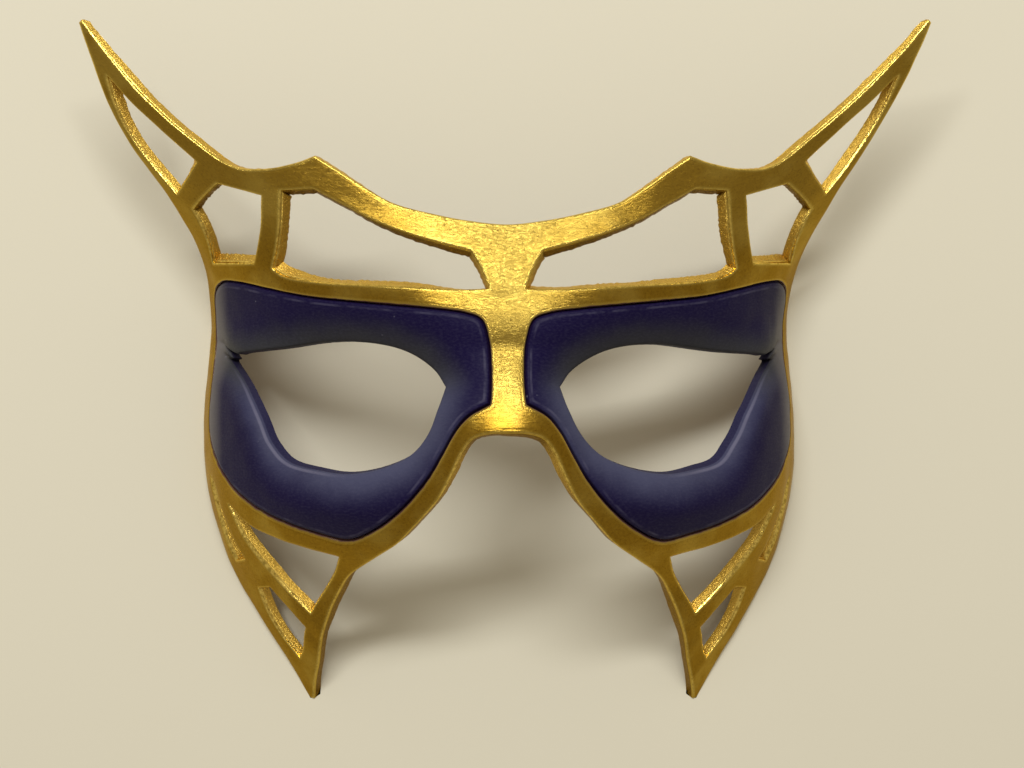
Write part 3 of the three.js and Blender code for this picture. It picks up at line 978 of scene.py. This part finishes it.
def blue_leather(colours):
    """Dark blue dye that fades to grey round the eye hole, on smooth leather with inked cuts. The grey
    above the hole is partly painted sheen; rolled edges and the lower lip take a painted highlight, and
    the steep temples a painted grey sheen.
    """
    finish = Finish("blue_leather")
    flat = finish.flat()
    eye = finish.attribute("eye")
    lip = finish.attribute("lip")
    seam = finish.attribute("seam")
    behind = finish.attribute("behind")
    cloud = finish.noise(flat, scale=160, detail=4, roughness=0.6)
    brush = finish.noise(finish.flat(scale=(0.12, 1, 1)), scale=1500, roughness=0.6)
    grain = finish.cells(flat, scale=1100)
    dust = finish.noise(finish.flat(scale=(0.5, 1, 1)), scale=2400, roughness=0.7)
    highlight_breakup = finish.between(finish.noise(flat, scale=260), 0.35, 0.65)
    speck = finish.between(finish.cells(flat, scale=330), 0.1, 0.05)
    rare = finish.between(finish.noise(flat, scale=60), 0.56, 0.62)
    back = finish.between(behind, *BACK_FACE)
    wall = finish.between(behind, 0.02, 0.15)
    up = finish.node("ShaderNodeSeparateXYZ", None, {0: finish.attribute("flat", "Vector")}, "Y")
    upper = finish.between(up, -9 * MM, 2 * MM)
    reach = eye + cloud * 3 - 1.5
    lower_fade = finish.between(reach + lip * 2, 9, 0) ** 1.6
    upper_fade = finish.between(reach, 7, -0.5)
    # Painted highlight: a pale line along the panel's rolled edge and along the front corner of the
    # lower lip, broken up by noise
    rolled = finish.between(seam, 1, 1.25) * finish.between(seam, 1.7, 1.45)
    ridge = finish.between(eye, 0.6, 0.35) * finish.between(eye, 0.05, 0.2) * lip
    highlight_and_dust = (rolled * highlight_breakup * 0.2 + ridge * (0.45 + highlight_breakup * 0.15)) * (1 - wall)
    lower = finish.blend(lower_fade, colours.blue, colours.lower_grey)
    # Dye fading to grey round the eye hole; above the hole the grey is partly painted sheen
    lid = finish.blend(upper_fade, colours.blue, colours.lid_grey)
    dye = finish.blend(upper, lower, lid)
    dye = finish.blend(highlight_and_dust, dye, colours.highlight_and_dust)
    # Painted sheen: grey on the steep temples
    dye = finish.blend(finish.attribute("steep") * 0.8, dye, colours.painted_sheen)
    dye = finish.blend(wall * 0.7, dye, colours.blue)
    dye = finish.blend(finish.between(seam, 0.5, 0.2) * 0.6, dye, colours.ink)
    dye = finish.blend(speck * rare * 0.35, dye, colours.speck)
    dye = finish.blend(back, dye, colours.back)
    # Pale dust over the dye, in the highlight colour
    dye = finish.blend(finish.between(dust, 0.4, 0.7) * (1 - back) * 0.06, dye, colours.highlight_and_dust)
    height = brush * BLUE_RELIEF["brush"] + grain * BLUE_RELIEF["grain"] + cloud * BLUE_RELIEF["cloud"]
    return finish.finished(**{
        "Base Color": dye,
        "Roughness": BLUE_ROUGH["dye"] + brush * BLUE_ROUGH["brush"] + back * BLUE_ROUGH["back"],
        "Specular IOR Level": BLUE_SHEEN,
        "Normal": finish.bump(height, distance=0.07 * MM, strength=0.8),
    })


def pale_floor(colours):
    """A plain matt pale surface."""
    finish = Finish("pale_floor")
    place = finish.node("ShaderNodeTexCoord", None, None, "Object")
    mottle = finish.noise(place, scale=14)
    shaded = tuple(0.9 * part for part in colours.floor)
    fibre = finish.noise(place, scale=1500, detail=2)
    return finish.finished(**{
        "Base Color": finish.blend(mottle * 0.15, colours.floor, shaded),
        "Roughness": 0.75,
        "Normal": finish.bump(fibre, distance=0.03 * MM, strength=0.3),
    })


# Operators

def dress(piece, node, material):
    """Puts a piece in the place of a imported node, with its finish."""
    piece.data.materials.append(material)
    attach(piece, "root")
    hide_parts(node)


class MASK_OT_gold_frame(Operator):
    """Cut, mould and paint the gold tracery frame"""
    bl_idname = "mask.gold_frame"
    bl_label = "Gold frame"

    def execute(self, context):
        settings = context.scene
        right = [PANEL_EDGE, *OPENINGS]
        holes = [edge_points(rows) for rows in right]
        holes += [mirrored(hole) for hole in holes]
        bm = cut_sheet(whole_edge(OUTER_EDGE), holes, settings.mask_leather)
        fine = [edge_points(rows, FINE_STEP) for rows in right]
        fine += [mirrored(hole) for hole in fine]
        edge = np.concatenate([whole_edge(OUTER_EDGE, FINE_STEP), *fine])
        piece = mould_sheet("gold_tracery", bm, edge, settings.mask_leather, panel=False)
        dress(piece, "gold_frame", gold_leather(settings.mask_finish))
        return {"FINISHED"}


class MASK_OT_eye_panels(Operator):
    """Cut, mould and dye the two blue eye panels"""
    bl_idname = "mask.eye_panels"
    bl_label = "Eye panels"

    def execute(self, context):
        leather = context.scene.mask_leather
        seam = leather.seam / MM
        dye = blue_leather(context.scene.mask_finish)
        corner = unroll(LID_CORNER["x"], LID_CORNER["y"]).xy
        for side, turn in (("left", -1), ("right", 1)):
            outline = inset(edge_points(PANEL_EDGE), seam) * (turn, 1)
            hole = eye_hole(side) * (turn, 1)
            pinched = Vector((turn * (corner.x + FINE_CORNER["out"]), corner.y))
            bm = cut_sheet(outline, [hole], leather, [(pinched, FINE_CORNER["reach"])])
            fine = [inset(edge_points(PANEL_EDGE, FINE_STEP), seam), eye_hole(side, FINE_STEP)]
            edge = np.concatenate(fine) * (turn, 1)
            piece = mould_sheet(f"blue_panel_{side}", bm, edge, leather, panel=True)
            dress(piece, f"eye_panel_{side}", dye)
        return {"FINISHED"}


class MASK_OT_stage(Operator):
    """Make the floor, the soft light and the camera"""
    bl_idname = "mask.stage"
    bl_label = "Stage"

    def execute(self, context):
        scene = context.scene
        stage = scene.mask_stage
        self.floor(scene, stage)
        self.room(scene, stage)
        self.window(scene, stage)
        self.camera(scene, stage)
        return {"FINISHED"}

    def floor(self, scene, stage):
        bm = bmesh.new()
        cells = FLOOR["cells"]
        bmesh.ops.create_grid(bm, x_segments=cells, y_segments=cells, size=FLOOR["half"])
        mesh = bpy.data.meshes.new("floor")
        bm.to_mesh(mesh)
        bm.free()
        mesh.materials.append(pale_floor(stage))
        floor = bpy.data.objects.new("floor", mesh)
        scene.collection.objects.link(floor)

    def room(self, scene, stage):
        world = bpy.data.worlds.new("room")
        world.use_nodes = True
        air = world.node_tree.nodes["Background"]
        air.inputs["Color"].default_value = (*stage.air, 1)
        air.inputs["Strength"].default_value = stage.air_strength
        scene.world = world
        scene.view_settings.view_transform = "Standard"

    def window(self, scene, stage):
        lamp = bpy.data.lights.new("window", "AREA")
        lamp.shape = "RECTANGLE"
        lamp.size, lamp.size_y = WINDOW["size"]
        lamp.energy = stage.window_power
        window = bpy.data.objects.new("window", lamp)
        window.location = WINDOW["place"]
        window.rotation_mode = "QUATERNION"
        window.rotation_quaternion = (-Vector(WINDOW["place"])).to_track_quat("-Z", "Y")
        scene.collection.objects.link(window)

    def camera(self, scene, stage):
        lens = bpy.data.cameras.new("camera")
        lens.sensor_width = CAMERA["film"]
        lens.lens = stage.lens
        lens.clip_start = CAMERA["nearest"]
        camera = bpy.data.objects.new("camera", lens)
        camera.location = (*CAMERA["place"], stage.camera_height)
        scene.collection.objects.link(camera)
        scene.camera = camera


class MASK_PT_sidebar(Panel):
    """Lists the mask's settings and its operators"""
    bl_idname = "MASK_PT_sidebar"
    bl_label = "Masquerade mask"
    bl_space_type = "VIEW_3D"
    bl_region_type = "UI"
    bl_category = "Mask"

    def draw(self, context):
        scene = context.scene
        for group in (scene.mask_leather, scene.mask_finish, scene.mask_stage):
            box = self.layout.box()
            for name in group.__annotations__:
                box.prop(group, name)
        for operator in OPERATORS:
            self.layout.operator(operator.bl_idname)


SETTINGS = {"mask_leather": LeatherSettings, "mask_finish": FinishSettings, "mask_stage": StageSettings}
OPERATORS = (MASK_OT_gold_frame, MASK_OT_eye_panels, MASK_OT_stage)
CLASSES = (*SETTINGS.values(), *OPERATORS, MASK_PT_sidebar)


def register():
    for cls in CLASSES:
        bpy.utils.register_class(cls)
    for name, group in SETTINGS.items():
        setattr(bpy.types.Scene, name, PointerProperty(type=group))


def unregister():
    for name in SETTINGS:
        delattr(bpy.types.Scene, name)
    for cls in reversed(CLASSES):
        bpy.utils.unregister_class(cls)


def main():
    register()
    bpy.ops.mask.gold_frame()
    bpy.ops.mask.eye_panels()
    bpy.ops.mask.stage()


if __name__ == "__main__":
    main()
